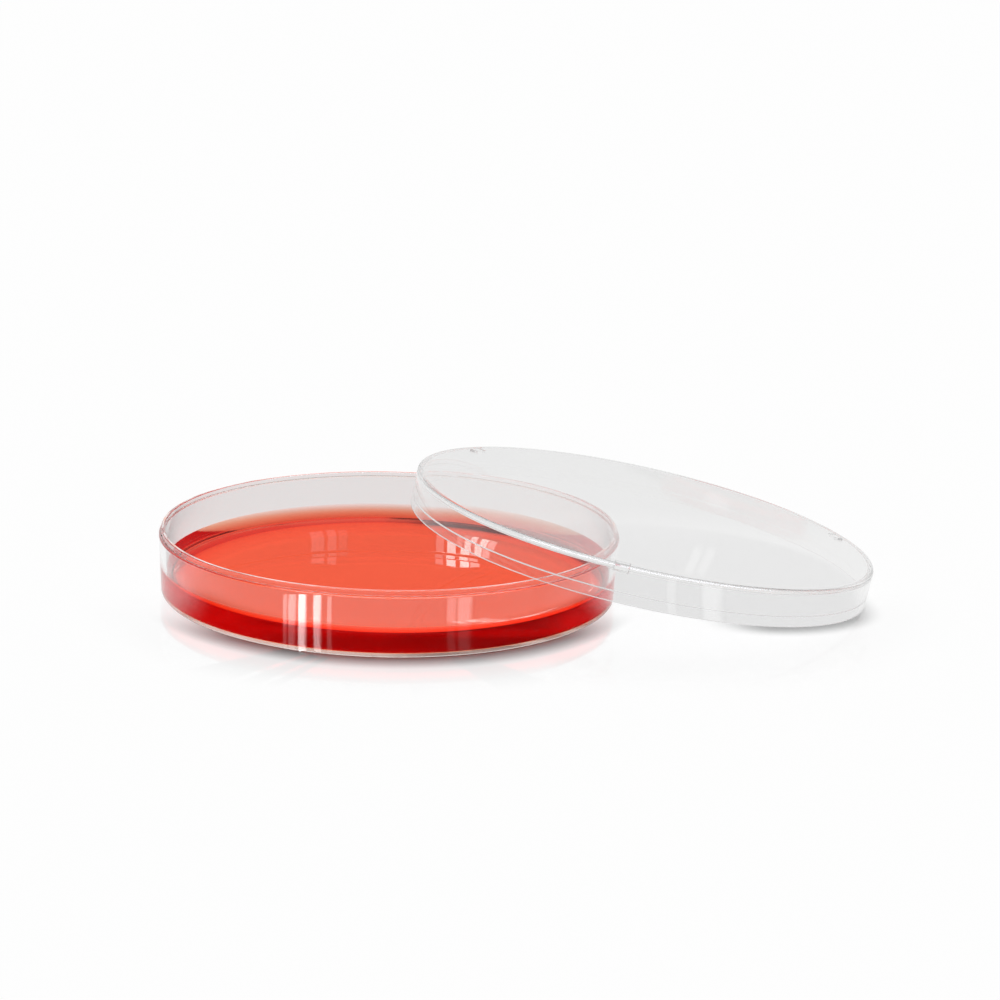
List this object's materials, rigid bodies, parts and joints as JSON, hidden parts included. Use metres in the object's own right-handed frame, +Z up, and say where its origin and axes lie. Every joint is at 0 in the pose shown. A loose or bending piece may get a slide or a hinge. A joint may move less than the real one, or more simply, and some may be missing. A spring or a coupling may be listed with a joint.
{
  "type": "petri dish",
  "caption": "Clear round petri dish holding a red culture medium, with a shallow vented lid that leans on its lip and lifts off.",
  "frame": {"origin": "centre of the dish's flat underside, on the table", "axes": "+Z up along the dish's axis; +X from the dish's axis towards the leaning lid, so the lid's lowest point is on +X"},
  "size_m": [0.1374, 0.09, 0.0226],
  "materials": {
    "clear_plastic": "clear polished polystyrene",
    "red_medium": "wet translucent gel"
  },
  "bodies": {
    "dish": {"dish": "clear_plastic", "medium": "red_medium"},
    "lid": {"lid": "clear_plastic"}
  },
  "joints": [
    {"name": "lid_lift", "type": "slide", "parent": "dish", "child": "lid", "axis": [0, 0, 1], "range_m": [0, 0.06]}
  ]
}
